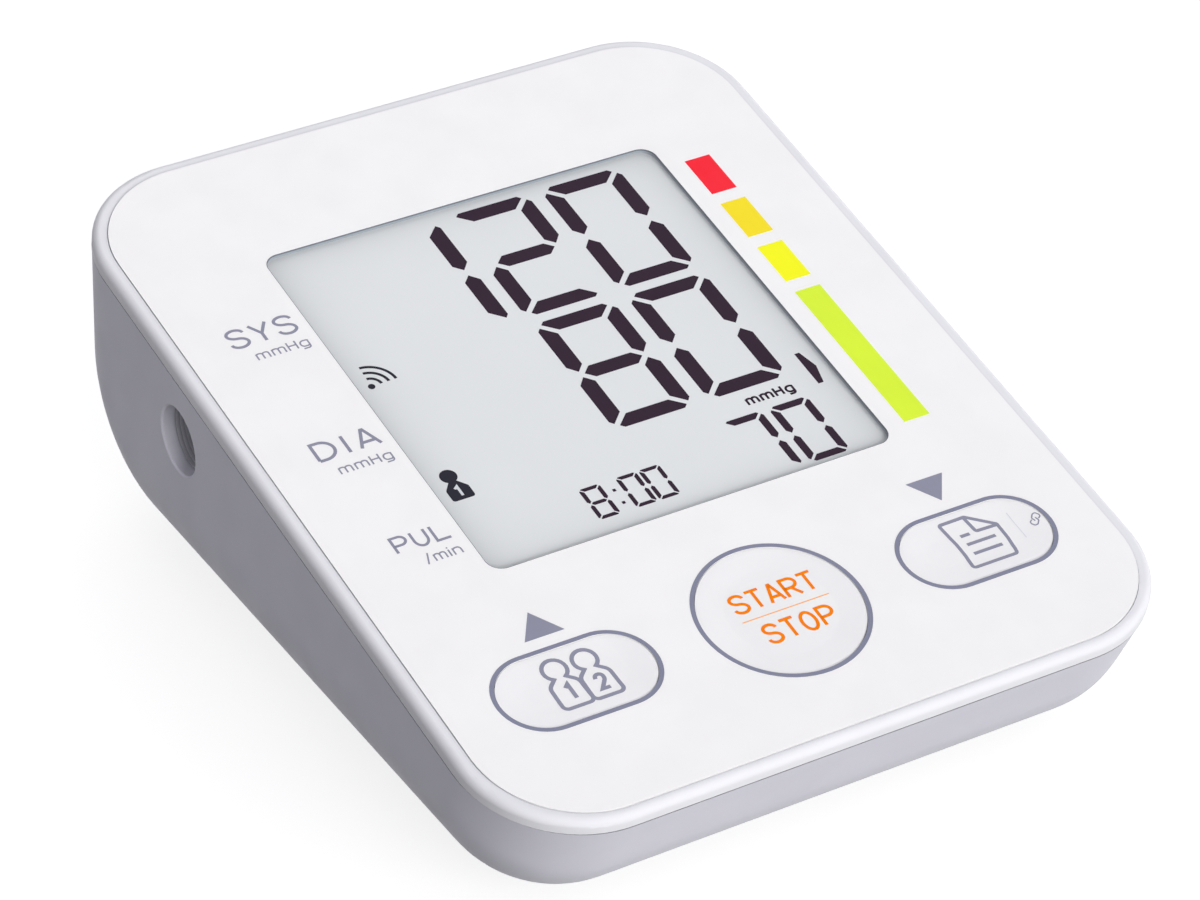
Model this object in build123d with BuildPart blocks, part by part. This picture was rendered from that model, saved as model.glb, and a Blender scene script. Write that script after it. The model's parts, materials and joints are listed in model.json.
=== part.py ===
from build123d import *
import os
from math import atan2, cos, degrees, radians, sin, tan

# Desk unit of an upper-arm blood pressure monitor: a wedge-shaped case with a sloping face.
#
# Two frames are used. The world frame stands on the rubber feet, +Z up, +Y towards the back, with
# the origin under the middle of the case. The face frame FACE lies in the sloping front panel: its
# x runs right, its y runs up the slope and its z stands out of the panel.

# ---------------------------------------------------------------- driving dimensions, mm
# case
TILT = 11.6              # slope of the face, degrees
CASE_W = 100.0           # width over the case
FACE_FRONT = 64.0        # from the panel centre to the case edge, down the slope
FACE_BACK = 64.5         # the same, up the slope
CASE_R = 16.0            # corner radius in plan, and of the long lower edges
CASE_H = 32.9            # height of the panel centre above the case bottom
EDGE_R = 1.05            # rounding along the top edge of the bezel
BEZEL_DROP = 0.15        # the bezel stands this far below the panel's face
SEAM_H, SEAM_DEEP = 0.16, 0.5   # shadow gap in the top case along the parting line
PARTING = 2.4            # the parting line lies this far under the face
WALL = 2.0               # wall of the two case halves
FRONT_RAKE = 15.0        # the tray's front wall leans in by this, degrees from the face normal
BACK_RAKE = 8.3          # the tray's back wall leans in by this
FRONT_CURVE = 17.2       # profile radius from the front wall into the bottom
BACK_CURVE = 24.5        # profile radius from the back wall into the bottom
FOOT_H = 0.8             # how far the feet stand out of the bottom
CENTRE_Y = -1.09         # brings the case bounding box over the origin
SLIP = 0.03              # assembly clearance of fixed pieces
LIP_H, LIP_T = 1.6, 1.1  # lip of the top case that locates in the tray
LIP_FIT = 0.15           # clearance round that lip

# face panel and its window
BEZEL_SIDE, BEZEL_FRONT, BEZEL_BACK = 1.95, 1.4, 1.9
PANEL_R = CASE_R - 1.6
PANEL_T = 0.6
HAIRLINE = 0.08          # gap round the inset panel
WINDOW_W, WINDOW_L, WINDOW_R = 60.4, 63.7, 2.2
WINDOW_Y = 9.95          # window centre up the slope from the panel centre

# display
FILM_T, FILM_EDGE = 0.2, 1.0
GLASS_T = 1.0
LCD_MARGIN = 3.0         # the glass reaches this far behind the panel on every side
LCD_LEDGE = 2.2          # contact ledge of the front glass beyond the rear glass
LCD_FIT = 0.15
ZEBRA_T, ZEBRA_END = 1.6, 4.0
HOLDER_WALL = 1.2

# buttons
BUTTON_Y = -42.2
START_R = 11.6           # outside of the ring round the middle button
SIDE_IN = 20.3           # from the case side to the middle of a side button
SIDE_W, SIDE_L = 22.9, 12.9
RING_W = 0.6             # width of the ring round each button
RUN_FIT = 0.08           # running clearance of a button in its ring
SILL = 0.25              # how far the case stands back from the ring's bore
TRAVEL = 0.6             # button travel
CAP_TOP, CAP_WALL = 0.12, 1.2
FLANGE_W, FLANGE_H, FLANGE_GAP = 0.9, 0.8, 0.1
STEM_R = 2.0
DISH, DISH_EDGE, DISH_RUN = 0.16, 0.5, 3.05   # depth, rim and width of the slope

# circuit board, fixed under the top case
BOARD_DEPTH = 6.4        # upper side of the board below the face
BOARD_T = 1.6
BOARD_EDGE = 1.4         # board past the display glass at the back
BOARD_SIDE, BOARD_FRONT = 6.0, 11.0  # board inside the case edge, along the front
BOARD_STEP = -33.0       # behind this line the board narrows to the display
POST_R, POST_INSET = 2.2, 4.0
POST_GAP, POST_MID_Y = 0.9, 8.0   # middle posts beside the display holder
BOARD_SCREW_R, BOARD_SCREW_HEAD_R, BOARD_SCREW_HEAD_H, BOARD_SCREW_L = 1.0, 2.0, 1.3, 3.2
TACT_W, TACT_T = 6.0, 3.0
MCU_W, MCU_T, MCU_AT = 12.0, 1.6, (8.0, 8.0)
RADIO_W, RADIO_L, RADIO_T, RADIO_AT = 16.0, 12.0, 2.2, (20.0, -42.0)
BUZZER_R, BUZZER_H, BUZZER_HOLE_R = 6.0, 4.0, 1.0
BUZZER_X, BUZZER_IN = 22.0, 20.2   # BUZZER_IN and CAN_IN are from the board's back edge
CAN_R, CAN_H, CAN_X, CAN_IN = 3.0, 6.0, [-12.0, -4.0], 16.2
PLUNGER_R, PLUNGER_L, PLUNGER_OUT, PLUNGER_FIT = 1.7, 1.4, 0.8, 0.1

# screws that close the case
BOSS_FRONT_X, BOSS_FRONT_Y = 37.0, -30.5
BOSS_BACK_Y = 38.0       # the back bosses stand beside the display holder
BOSS_R, BOSS_STEP = 4.2, 0.8
BOSS_TOP = 10.5          # mating face of the screw bosses, below the face
SEAT_T = 3.0             # plastic under each screw head
SCREW_R, SCREW_HEAD_R, SCREW_HEAD_H, SCREW_L = 1.4, 2.6, 1.8, 6.0
SCREW_BITE = 0.05        # radial clearance of a screw in its pilot hole
SCREW_EASE = 0.3         # and of its shank and head in the tray
PILOT_ROOM = 0.5         # pilot hole past the screw's end
CROSS_W, CROSS_T = 1.1, 0.3   # cross recess, as shares of the head's radius

# feet
FOOT_R, FOOT_POCKET, FOOT_EDGE = 3.6, 0.6, 0.3
FOOT_IN = 6.0            # from the flat of the bottom to the middle of a foot
FOOT_FRONT, FOOT_BACK = 8.3, 4.6   # middle of a foot from the bay, in front and behind

# cells, bay and door
CELL_R, CELL_L = 7.1, 49.2
NUB_R, NUB_L = 2.7, 1.2
CELL_COUNT, CELL_PITCH = 4, 15.0
CELL_GAP = 0.35          # clearance over and under the cells
CELLS_Y = 0.5            # middle of the row of cells
RIB_T, BAY_END = 1.1, 0.6   # walls of the bay, and its length past the outer cells
SADDLE_T = 1.6           # ribs that carry the pump and the valve
PLATE_T, PLATE_GAP = 0.4, 1.2   # contact plates, and how far a positive end stands off the wall
PLATE_W, PLATE_H = 10.0, 10.65
SPRING_ROOM = 4.8        # length left for the sprung contact
LEAF_W, LEAF_HALF, LEAF_TIP, LEAF_OUT, LEAF_R = 5.0, 5.0, 1.0, 1.6, 0.8
DOOR_T, DOOR_GAP = 2.0, 0.3
PIN_R, PIN_FIT, PIN_SHORT, KNUCKLE_R, KNUCKLE_UP = 0.8, 0.05, 0.2, 1.2, 0.1
LATCH_W, LATCH_L, LATCH_SLIT = 14.0, 9.0, 1.0
NOTCH_W, NOTCH_R = 18.0, 3.0
GRIP_W, GRIP_L, GRIP_DEEP, GRIP_PITCH, GRIPS = 10.0, 0.8, 0.5, 1.8, 3
DOOR_RIB_W, DOOR_RIB_H, DOOR_RIB_END = 1.0, 0.3, 10.0

# air socket, its axis along X
SOCKET_Y, SOCKET_Z = 26.0, 27.55
SOCKET_MOUTH_R, MOUTH_EDGE = 4.85, 0.25
SOCKET_BORE_R, SOCKET_STEP, SOCKET_STEP_L = 4.0, 0.3, 0.5
SOCKET_RIM, SOCKET_FLANGE_T = 0.8, 1.2   # flange past the mouth, and its thickness
SOCKET_WALL, SOCKET_END_T = 1.4, 1.0
SOCKET_L = 9.0           # from the outside of the wall to the end of the socket
NIPPLE_R, NIPPLE_BORE_R, NIPPLE_L = 1.5, 0.7, 2.4
HOSE_R, HOSE_GAP = 2.2, 0.1

# pump, valve, manifold and sensor
PUMP_TO_BACK = 12.9      # from the back edge of the face to the pump axis
PUMP_Z, PUMP_R = 22.2, 10.5
MOTOR_L, MOTOR_EDGE, HEAD_L = 25.0, 1.0, 24.0
PUMP_RUN = 8.0           # from the manifold's line to the pump head
SHAFT_R, SHAFT_L = 3.5, 1.5
SLEEVE_T, SLEEVE_INSET, SLEEVE_L = 1.0, 1.5, 21.0
SADDLES = [-8.0, 6.0, 18.0]   # from the joint of head and motor
VALVE_IN, VALVE_Y, VALVE_Z = 9.8, -2.0, 10.0   # VALVE_IN is from the case side
VALVE_W, VALVE_L, VALVE_H, VALVE_EDGE = 11.0, 20.0, 11.0, 1.0
VALVE_PORT_Z, VALVE_HOSE_Y = 16.8, 16.5
MANIFOLD_IN, MANIFOLD_GAP = 11.0, 4.4   # its line from the socket's end, and from a back boss
MANIFOLD_R, MANIFOLD_STUB = 2.4, 0.6
MANIFOLD_Y0, MANIFOLD_Y1 = 12.0, 35.0
SENSOR_Y = 18.3          # in the face frame
SENSOR_W, SENSOR_T, SENSOR_NECK = 8.0, 2.6, 1.0
SENSOR_PORT_GAP, SENSOR_HOSE_L = 1.6, 1.8
HOSE_BEND, PUMP_BEND = 2.6, 4.0

# ---------------------------------------------------------------- sizes that follow
BACK_Y = CENTRE_Y + FACE_BACK * cos(radians(TILT))
GLASS_TOP = PANEL_T + FILM_T
LCD_W, LCD_L = WINDOW_W + 2 * LCD_MARGIN, WINDOW_L + 2 * LCD_MARGIN
REAR_GLASS_END = GLASS_TOP + 2 * GLASS_T
ZEBRA_W = LCD_W - 2 * ZEBRA_END
ZEBRA_Y = (LCD_L - LCD_LEDGE) / 2
BOARD_BOTTOM = BOARD_DEPTH + BOARD_T
BOARD_W = LCD_W + 2 * HOLDER_WALL + 2 * SLIP
BOARD_WIDE = CASE_W - 2 * BOARD_SIDE
BOARD_FRONT_Y = BOARD_FRONT - FACE_FRONT
BOARD_BACK_Y = WINDOW_Y + LCD_L / 2 + BOARD_EDGE
BUZZER_AT = (BUZZER_X, BOARD_BACK_Y - BUZZER_IN)
CAN_POINTS = [(x, BOARD_BACK_Y - CAN_IN) for x in CAN_X]
POST_FRONT_Y = BOARD_FRONT_Y + POST_INSET / 2
POST_MID_X = LCD_W / 2 + HOLDER_WALL + POST_R + POST_GAP
POST_POINTS = [
    (-BOARD_WIDE / 2 + POST_INSET, POST_FRONT_Y), (BOARD_WIDE / 2 - POST_INSET, POST_FRONT_Y),
    (-POST_MID_X, POST_MID_Y), (POST_MID_X, POST_MID_Y),
]
BOSS_BACK_X = LCD_W / 2 + HOLDER_WALL + BOSS_R
BOSS_POINTS = [
    (-BOSS_FRONT_X, BOSS_FRONT_Y), (BOSS_FRONT_X, BOSS_FRONT_Y),
    (-BOSS_BACK_X, BOSS_BACK_Y), (BOSS_BACK_X, BOSS_BACK_Y),
]
SIDE_X = CASE_W / 2 - SIDE_IN
FLANGE_TOP = PARTING + FLANGE_GAP
SKIRT_END = FLANGE_TOP + FLANGE_H
SWITCH_TOP = BOARD_DEPTH - TACT_T
STEM_END = SWITCH_TOP - PLUNGER_OUT
PLUNGER_END = STEM_END + PLUNGER_L
BAY_X = (CELL_L + NUB_L + PLATE_GAP + SPRING_ROOM) / 2
BAY_L = (CELL_COUNT - 1) * CELL_PITCH + 2 * (CELL_R + BAY_END)
CELL_Z = FOOT_H + DOOR_T + CELL_GAP + CELL_R
BAY_TOP = CELL_Z + CELL_R + CELL_GAP
BAY_FRONT_Y, BAY_BACK_Y = CELLS_Y - BAY_L / 2, CELLS_Y + BAY_L / 2
FOOT_X = CASE_W / 2 - CASE_R - FOOT_IN
FOOT_POINTS = [(x, y) for x in (-FOOT_X, FOOT_X)
               for y in (BAY_FRONT_Y - FOOT_FRONT, BAY_BACK_Y + FOOT_BACK)]
DOOR_AXIS_Y = BAY_FRONT_Y + DOOR_GAP + KNUCKLE_R
DOOR_AXIS_Z = FOOT_H + KNUCKLE_R + KNUCKLE_UP
DOOR_X, DOOR_BACK_Y = BAY_X - DOOR_GAP, BAY_BACK_Y - DOOR_GAP
VALVE_X = VALVE_IN - CASE_W / 2
SOCKET_FLANGE_R, SOCKET_BODY_R = SOCKET_MOUTH_R + SOCKET_RIM, SOCKET_BORE_R + SOCKET_WALL
SOCKET_END_X = SOCKET_L - CASE_W / 2
DROP_X = SOCKET_END_X + NIPPLE_L + HOSE_BEND
# the air line stands inside the back boss, and leaves the socket's hose room to bend
MANIFOLD_X = max(SOCKET_END_X + MANIFOLD_IN, MANIFOLD_GAP + BOSS_R - BOSS_BACK_X)
MANIFOLD_Z = PUMP_Z
PUMP_Y, SLEEVE_R = BACK_Y - PUMP_TO_BACK, PUMP_R + SLEEVE_T
PUMP_SPLIT_X = MANIFOLD_X + PUMP_RUN + HEAD_L
SADDLE_X = [PUMP_SPLIT_X + x for x in SADDLES]

FACE = Plane(
    origin=(0, CENTRE_Y, FOOT_H + CASE_H),
    x_dir=(1, 0, 0),
    z_dir=(0, -sin(radians(TILT)), cos(radians(TILT))),
)
FACE_AXIS = Axis(FACE.origin, FACE.z_dir)
SOCKET_POINT = (-CASE_W / 2, SOCKET_Y, SOCKET_Z)
SOCKET = Plane(origin=SOCKET_POINT, x_dir=(0, 1, 0), z_dir=(1, 0, 0))
SOCKET_CUT = Plane(origin=SOCKET_POINT, x_dir=(1, 0, 0), z_dir=(0, -1, 0))
SOCKET_AXIS = Axis(SOCKET.origin, SOCKET.z_dir)


def face_at(depth):
    """Plane parallel to the panel, depth below it."""
    return FACE.offset(-depth)


def face_rect(front, back, side, radius):
    """Rounded rectangle that stands in from the case edges of the face by front, back and side."""
    with Locations((0, (FACE_BACK - back - FACE_FRONT + front) / 2)):
        RectangleRounded(CASE_W - 2 * side, FACE_FRONT + FACE_BACK - front - back, radius)


def save(builder, name):
    builder.part.label = name
    export_step(builder.part, f"parts/{name}.step")


def tray_form(inset, rise):
    """Solid wedge of the lower case, its surface moved in by inset and its walls raised by rise."""
    front_angle, back_angle = radians(TILT + FRONT_RAKE), radians(TILT - BACK_RAKE)
    front = FACE.from_local_coords(Vector(0, -FACE_FRONT, -PARTING))
    back = FACE.from_local_coords(Vector(0, FACE_BACK, -PARTING))
    front_y = front.Y + inset * cos(front_angle) - rise * sin(front_angle)
    front_z = front.Z + inset * sin(front_angle) + rise * cos(front_angle)
    back_y = back.Y - inset * cos(back_angle) - rise * sin(back_angle)
    back_z = back.Z - inset * sin(back_angle) + rise * cos(back_angle)
    floor = FOOT_H + inset
    with BuildPart() as form:
        with BuildSketch(Plane.YZ):
            with BuildLine():
                FilletPolyline(
                    (front_y, front_z),
                    (front_y + (front_z - floor) * tan(front_angle), floor),
                    (back_y + (back_z - floor) * tan(back_angle), floor),
                    (back_y, back_z),
                    radius=[FRONT_CURVE - inset, BACK_CURVE - inset],
                )
                Line((back_y, back_z), (front_y, front_z))
            make_face()
        extrude(amount=CASE_W / 2 - inset, both=True)
        sides = form.faces().filter_by(Axis.X).edges()
        rim = form.faces().filter_by(lambda f: f.normal_at().Z > 0.9).edges()
        fillet([e for e in sides if e not in rim], radius=CASE_R - inset)
    return form.part


os.makedirs("parts", exist_ok=True)

# ---------------------------------------------------------------- housing
OUTER = tray_form(0, 0)

with BuildPart() as inner_ribs:
    # four screw bosses, square to the parting plane
    with BuildSketch(face_at(BOSS_TOP)):
        with Locations(*BOSS_POINTS):
            Circle(BOSS_R)
    extrude(amount=-2 * CASE_H)
    # battery bay, open at the bottom
    with BuildSketch(Plane.XY.offset(FOOT_H)):
        with Locations((0, CELLS_Y)):
            Rectangle(2 * (BAY_X + RIB_T), BAY_L + 2 * RIB_T)
    extrude(amount=BAY_TOP + RIB_T - FOOT_H)
    # saddles under the pump
    with BuildSketch(Plane.XY.offset(FOOT_H)):
        with Locations(*[(x, PUMP_Y) for x in SADDLE_X]):
            Rectangle(SADDLE_T, 2 * PUMP_R)
    extrude(amount=PUMP_Z - FOOT_H - PUMP_R / 2)
    with BuildSketch(Plane.YZ.offset(SADDLE_X[0] - SADDLE_T)):
        with Locations((PUMP_Y, PUMP_Z)):
            Circle(SLEEVE_R + SLIP)
    extrude(amount=SADDLE_X[-1] - SADDLE_X[0] + 2 * SADDLE_T, mode=Mode.SUBTRACT)
    # ribs under the valve
    with BuildSketch(Plane.XY.offset(FOOT_H)):
        with Locations(*[(VALVE_X, VALVE_Y + side * VALVE_L / 4) for side in (-1, 1)]):
            Rectangle(VALVE_W, SADDLE_T)
    extrude(amount=VALVE_Z - FOOT_H - SLIP)
    add(OUTER, mode=Mode.INTERSECT)

with BuildPart() as bottom_case:
    add(OUTER)
    add(tray_form(WALL, LIP_H * 3), mode=Mode.SUBTRACT)
    add(inner_ribs.part)
    with BuildSketch(Plane.XY.offset(FOOT_H)):
        with Locations((0, CELLS_Y)):
            Rectangle(2 * BAY_X, BAY_L)
    extrude(amount=BAY_TOP - FOOT_H, mode=Mode.SUBTRACT)
    # screw holes with deep counterbores from below
    with BuildSketch(face_at(BOSS_TOP)):
        with Locations(*BOSS_POINTS):
            Circle(SCREW_R + SCREW_EASE)
    extrude(amount=-2 * CASE_H, mode=Mode.SUBTRACT)
    with BuildSketch(face_at(BOSS_TOP + SEAT_T)):
        with Locations(*BOSS_POINTS):
            Circle(SCREW_HEAD_R + SCREW_EASE)
    extrude(amount=-2 * CASE_H, mode=Mode.SUBTRACT)
    # pockets for the feet
    with BuildSketch(Plane.XY.offset(FOOT_H)):
        with Locations(*FOOT_POINTS):
            Circle(FOOT_R + SLIP)
    extrude(amount=FOOT_POCKET, mode=Mode.SUBTRACT)
    # mouth of the air socket in the left wall
    with BuildSketch(SOCKET):
        Circle(SOCKET_MOUTH_R)
    extrude(amount=WALL + SOCKET_FLANGE_T, mode=Mode.SUBTRACT)
    # bearings of the battery door in the end walls of the bay
    with BuildSketch(Plane.YZ.offset(-BAY_X - RIB_T)):
        with Locations((DOOR_AXIS_Y, DOOR_AXIS_Z)):
            Circle(PIN_R + PIN_FIT)
    extrude(amount=2 * (BAY_X + RIB_T), mode=Mode.SUBTRACT)
    # finger notch in front of the door latch
    with BuildSketch(Plane.XY.offset(FOOT_H)):
        with Locations((0, BAY_BACK_Y)):
            SlotOverall(NOTCH_W, NOTCH_R * 2)
    extrude(amount=WALL / 2, mode=Mode.SUBTRACT)
    rounds = bottom_case.edges().filter_by(GeomType.CIRCLE)
    mouth = rounds.filter_by(lambda e: abs(e.radius - SOCKET_MOUTH_R) < SLIP).sort_by(Axis.X)[0]
    chamfer(mouth, MOUTH_EDGE)

with BuildPart() as top_case:
    with BuildSketch(face_at(PARTING)):
        face_rect(0, 0, 0, CASE_R)
    extrude(amount=PARTING - BEZEL_DROP)
    fillet(top_case.faces().sort_by(FACE_AXIS)[-1].edges(), EDGE_R)
    # shadow gap along the parting line
    with BuildSketch(face_at(PARTING)):
        face_rect(0, 0, 0, CASE_R)
        offset(amount=-SEAM_DEEP, mode=Mode.SUBTRACT)
    extrude(amount=SEAM_H, mode=Mode.SUBTRACT)
    # recess that takes the panel
    with BuildSketch(face_at(PANEL_T)):
        face_rect(BEZEL_FRONT, BEZEL_BACK, BEZEL_SIDE, PANEL_R)
    extrude(amount=PANEL_T, mode=Mode.SUBTRACT)
    # lip that locates in the tray, following its raked walls
    with BuildSketch(face_at(PARTING)):
        face_rect(
            WALL + LIP_FIT + LIP_H * tan(radians(FRONT_RAKE)),
            WALL + LIP_FIT + LIP_H * tan(radians(BACK_RAKE)),
            WALL + LIP_FIT,
            CASE_R - LIP_T,
        )
        offset(amount=-LIP_T, mode=Mode.SUBTRACT)
    extrude(amount=-LIP_H)
    # openings for the display and the buttons
    with BuildSketch(face_at(PARTING)):
        with Locations((0, WINDOW_Y)):
            Rectangle(LCD_W + 2 * LCD_FIT, LCD_L + 2 * LCD_FIT)
        with Locations((0, BUTTON_Y)):
            Circle(START_R - RING_W + SILL)
        with Locations((-SIDE_X, BUTTON_Y), (SIDE_X, BUTTON_Y)):
            SlotOverall(SIDE_W - 2 * (RING_W - SILL), SIDE_L - 2 * (RING_W - SILL))
    extrude(amount=PARTING, mode=Mode.SUBTRACT)
    # screw bosses and board posts, with pilot holes
    with BuildSketch(face_at(PARTING)):
        with Locations(*BOSS_POINTS):
            Circle(BOSS_R - BOSS_STEP)
    extrude(amount=-(BOSS_TOP - PARTING - SLIP))
    with BuildSketch(face_at(PARTING)):
        with Locations(*POST_POINTS):
            Circle(POST_R)
    extrude(amount=-(BOARD_DEPTH - PARTING))
    with BuildSketch(face_at(BOSS_TOP - SLIP)):
        with Locations(*BOSS_POINTS):
            Circle(SCREW_R + SCREW_BITE)
    extrude(amount=SCREW_L, mode=Mode.SUBTRACT)
    with BuildSketch(face_at(BOARD_DEPTH)):
        with Locations(*POST_POINTS):
            Circle(BOARD_SCREW_R + SCREW_BITE)
    extrude(amount=BOARD_SCREW_L, mode=Mode.SUBTRACT)

# ---------------------------------------------------------------- face panel and display
with BuildPart() as face_panel:
    with BuildSketch(face_at(PANEL_T)):
        face_rect(BEZEL_FRONT + HAIRLINE, BEZEL_BACK + HAIRLINE, BEZEL_SIDE + HAIRLINE,
                  PANEL_R - HAIRLINE)
        with Locations((0, WINDOW_Y)):
            RectangleRounded(WINDOW_W, WINDOW_L, WINDOW_R, mode=Mode.SUBTRACT)
        with Locations((0, BUTTON_Y)):
            Circle(START_R + SLIP, mode=Mode.SUBTRACT)
        with Locations((-SIDE_X, BUTTON_Y), (SIDE_X, BUTTON_Y)):
            SlotOverall(SIDE_W + 2 * SLIP, SIDE_L + 2 * SLIP, mode=Mode.SUBTRACT)
    extrude(amount=PANEL_T)

with BuildPart() as start_ring:
    with BuildSketch(face_at(PANEL_T)):
        with Locations((0, BUTTON_Y)):
            Circle(START_R)
            Circle(START_R - RING_W, mode=Mode.SUBTRACT)
    extrude(amount=PANEL_T)

with BuildPart() as side_button_rings:
    with BuildSketch(face_at(PANEL_T)):
        with Locations((-SIDE_X, BUTTON_Y), (SIDE_X, BUTTON_Y)):
            SlotOverall(SIDE_W, SIDE_L)
            SlotOverall(SIDE_W - 2 * RING_W, SIDE_L - 2 * RING_W, mode=Mode.SUBTRACT)
    extrude(amount=PANEL_T)


def display_sheet(top, thickness, width, length):
    """Flat sheet of the display stack; top is its depth under the face."""
    with BuildPart() as sheet:
        with BuildSketch(face_at(top + thickness)):
            with Locations((0, WINDOW_Y)):
                Rectangle(width, length)
        extrude(amount=thickness)
    return sheet


lcd_film = display_sheet(PANEL_T, FILM_T, WINDOW_W + 2 * FILM_EDGE, WINDOW_L + 2 * FILM_EDGE)
lcd_front_glass = display_sheet(GLASS_TOP, GLASS_T, LCD_W, LCD_L)
lcd_rear_glass = display_sheet(GLASS_TOP + GLASS_T, GLASS_T, LCD_W, LCD_L - 2 * LCD_LEDGE)

with BuildPart() as lcd_holder:
    with BuildSketch(face_at(BOARD_DEPTH)):
        with Locations((0, WINDOW_Y)):
            Rectangle(LCD_W + 2 * HOLDER_WALL, LCD_L + 2 * HOLDER_WALL)
            Rectangle(WINDOW_W, WINDOW_L, mode=Mode.SUBTRACT)
    extrude(amount=BOARD_DEPTH - PARTING - SLIP)
    # seat of the rear glass
    with BuildSketch(face_at(REAR_GLASS_END)):
        with Locations((0, WINDOW_Y)):
            Rectangle(LCD_W + 2 * SLIP, LCD_L + 2 * SLIP)
    extrude(amount=REAR_GLASS_END, mode=Mode.SUBTRACT)
    # slots that hold the contact strips
    with BuildSketch(face_at(BOARD_DEPTH)):
        with Locations((0, WINDOW_Y - ZEBRA_Y), (0, WINDOW_Y + ZEBRA_Y)):
            Rectangle(ZEBRA_W + 2 * SLIP, ZEBRA_T + 2 * SLIP)
    extrude(amount=BOARD_DEPTH, mode=Mode.SUBTRACT)

with BuildPart() as zebra_strips:
    with BuildSketch(face_at(BOARD_DEPTH)):
        with Locations((0, WINDOW_Y - ZEBRA_Y), (0, WINDOW_Y + ZEBRA_Y)):
            Rectangle(ZEBRA_W, ZEBRA_T)
    extrude(amount=BOARD_DEPTH - GLASS_TOP - GLASS_T)

# ---------------------------------------------------------------- circuit board
with BuildPart() as main_board:
    with BuildSketch(face_at(BOARD_BOTTOM)):
        with Locations((0, (BOARD_FRONT_Y + BOARD_BACK_Y) / 2)):
            Rectangle(BOARD_W, BOARD_BACK_Y - BOARD_FRONT_Y)
        with Locations((0, (BOARD_FRONT_Y + BOARD_STEP) / 2)):
            Rectangle(BOARD_WIDE, BOARD_STEP - BOARD_FRONT_Y)
        with Locations(*POST_POINTS):
            Circle(POST_R + POST_INSET / 2)
        with Locations(*POST_POINTS):
            Circle(BOARD_SCREW_R + PLUNGER_FIT, mode=Mode.SUBTRACT)
        with Locations(*BOSS_POINTS):
            Circle(BOSS_R, mode=Mode.SUBTRACT)
    extrude(amount=BOARD_T)


def under_board(point, width, length, height):
    """Rectangular component on the lower side of the board, at a point of the face frame."""
    with BuildPart() as component:
        with BuildSketch(face_at(BOARD_BOTTOM)):
            with Locations(point):
                Rectangle(width, length)
        extrude(amount=-height)
    return component


mcu_chip = under_board(MCU_AT, MCU_W, MCU_W, MCU_T)
wireless_module = under_board(RADIO_AT, RADIO_W, RADIO_L, RADIO_T)

with BuildPart() as pressure_sensor:
    with BuildSketch(face_at(BOARD_BOTTOM)):
        with Locations((MANIFOLD_X, SENSOR_Y)):
            Rectangle(SENSOR_W, SENSOR_W)
    extrude(amount=-SENSOR_T)
    with BuildSketch(face_at(BOARD_BOTTOM + SENSOR_T)):
        with Locations((MANIFOLD_X, SENSOR_Y)):
            Circle(NIPPLE_R)
            Circle(NIPPLE_BORE_R, mode=Mode.SUBTRACT)
    extrude(amount=-SENSOR_NECK)

with BuildPart() as buzzer:
    with BuildSketch(face_at(BOARD_BOTTOM)):
        with Locations(BUZZER_AT):
            Circle(BUZZER_R)
    extrude(amount=-BUZZER_H)
    with BuildSketch(face_at(BOARD_BOTTOM + BUZZER_H)):
        with Locations(BUZZER_AT):
            Circle(BUZZER_HOLE_R)
    extrude(amount=BUZZER_H / 4, mode=Mode.SUBTRACT)

with BuildPart() as capacitors:
    with BuildSketch(face_at(BOARD_BOTTOM)):
        with Locations(*CAN_POINTS):
            Circle(CAN_R)
    extrude(amount=-CAN_H)

SWITCH_POINTS = [(-SIDE_X, BUTTON_Y), (0, BUTTON_Y), (SIDE_X, BUTTON_Y)]

with BuildPart() as switch_bodies:
    with BuildSketch(face_at(BOARD_DEPTH)):
        with Locations(*SWITCH_POINTS):
            Rectangle(TACT_W, TACT_W)
    extrude(amount=TACT_T)
    # well that the plunger sinks into
    with BuildSketch(face_at(PLUNGER_END + TRAVEL + PLUNGER_FIT)):
        with Locations(*SWITCH_POINTS):
            Circle(PLUNGER_R + PLUNGER_FIT)
    extrude(amount=TACT_T, mode=Mode.SUBTRACT)


def plunger(x):
    """Sprung pin of the switch under the button at x."""
    with BuildPart() as pin:
        with BuildSketch(face_at(PLUNGER_END)):
            with Locations((x, BUTTON_Y)):
                Circle(PLUNGER_R)
        extrude(amount=PLUNGER_L)
    return pin


def round_outline(inset):
    Circle(START_R - inset)


def slot_outline(inset):
    SlotOverall(SIDE_W - 2 * inset, SIDE_L - 2 * inset)


def button_cap(x, outline):
    """Cap with a dished top, a skirt with a retaining flange, and a stem over the switch."""
    edge = RING_W + RUN_FIT
    with BuildPart() as cap:
        with BuildSketch(face_at(SKIRT_END)):
            with Locations((x, BUTTON_Y)):
                outline(edge)
        extrude(amount=SKIRT_END - CAP_TOP)
        with BuildSketch(face_at(SKIRT_END)):
            with Locations((x, BUTTON_Y)):
                outline(edge - FLANGE_W)
        extrude(amount=FLANGE_H)
        with BuildSketch(face_at(SKIRT_END)):
            with Locations((x, BUTTON_Y)):
                outline(edge + CAP_WALL)
        extrude(amount=SKIRT_END - CAP_TOP - CAP_WALL, mode=Mode.SUBTRACT)
        with BuildSketch(face_at(STEM_END)):
            with Locations((x, BUTTON_Y)):
                Circle(STEM_R)
        extrude(amount=STEM_END - CAP_TOP - CAP_WALL / 2)
        with BuildSketch(face_at(CAP_TOP)):
            with Locations((x, BUTTON_Y)):
                outline(edge + DISH_EDGE)
        extrude(amount=-DISH, taper=degrees(atan2(DISH_RUN, DISH)), mode=Mode.SUBTRACT)
    return cap


start_button = button_cap(0, round_outline)
user_button = button_cap(-SIDE_X, slot_outline)
memory_button = button_cap(SIDE_X, slot_outline)
start_plunger = plunger(0)
user_plunger = plunger(-SIDE_X)
memory_plunger = plunger(SIDE_X)


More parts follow.
